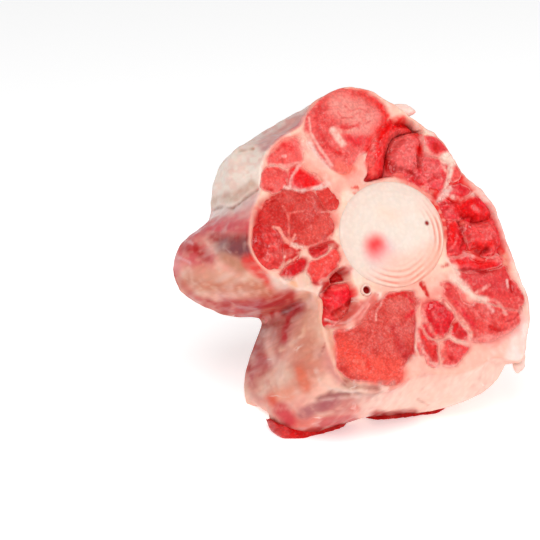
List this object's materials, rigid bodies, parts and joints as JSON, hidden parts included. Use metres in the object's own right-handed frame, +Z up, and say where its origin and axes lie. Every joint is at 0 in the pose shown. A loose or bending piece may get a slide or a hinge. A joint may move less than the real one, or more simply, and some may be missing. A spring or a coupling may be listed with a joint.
{
  "type": "raw oxtail slice",
  "caption": "Thick slice of raw oxtail leaning on its side: round bone end, red muscle bundles set in pale fat, deep groove along one side",
  "frame": {"origin": "middle of the bounding box's underside, on the surface the slice rests on", "axes": "+Z up, -Y towards the front cut face, which leans back by 30 degrees, +X to the right as seen from the front"},
  "size_m": [0.1108, 0.1012, 0.1172],
  "materials": {
    "fat": "moist, slightly glossy fat and membrane",
    "bone": "moist cartilage, satin",
    "artery": "moist, satin",
    "muscle": "moist cut muscle",
    "deep_muscle": "wet dark muscle in the hollows"
  },
  "bodies": {
    "root": {"fat_upper": "fat", "fat_lobe": "fat", "fat_lower": "fat", "vertebra": "bone", "artery": "artery", "muscle_crown": "muscle", "muscle_pocket_wall": "deep_muscle", "muscle_pocket_lump": "deep_muscle", "muscle_shoulder_upper": "muscle", "muscle_shoulder_lower": "muscle", "muscle_sliver": "muscle", "muscle_bead": "muscle", "muscle_rib_inner": "muscle", "muscle_rib_outer": "deep_muscle", "muscle_flank": "muscle", "muscle_flank_inner": "deep_muscle", "muscle_flank_band": "muscle", "muscle_haunch_upper": "muscle", "muscle_haunch_lower": "muscle", "muscle_drop_a": "muscle", "muscle_drop_b": "muscle", "muscle_drop_c": "muscle", "muscle_drop_d": "muscle", "muscle_keel": "muscle", "muscle_hollow_lump": "deep_muscle", "muscle_hollow_tip": "deep_muscle", "muscle_wing_main": "muscle", "muscle_wing_back": "muscle", "muscle_wing_low": "muscle", "muscle_wing_bead": "muscle", "muscle_wing_drop": "muscle", "muscle_wedge": "muscle", "muscle_saddle": "muscle", "muscle_wing_tip": "muscle", "muscle_ridge_a": "muscle", "muscle_ridge_b": "muscle", "muscle_ridge_c": "muscle", "muscle_foot_left": "deep_muscle", "muscle_foot_right": "deep_muscle"}
  },
  "joints": []
}
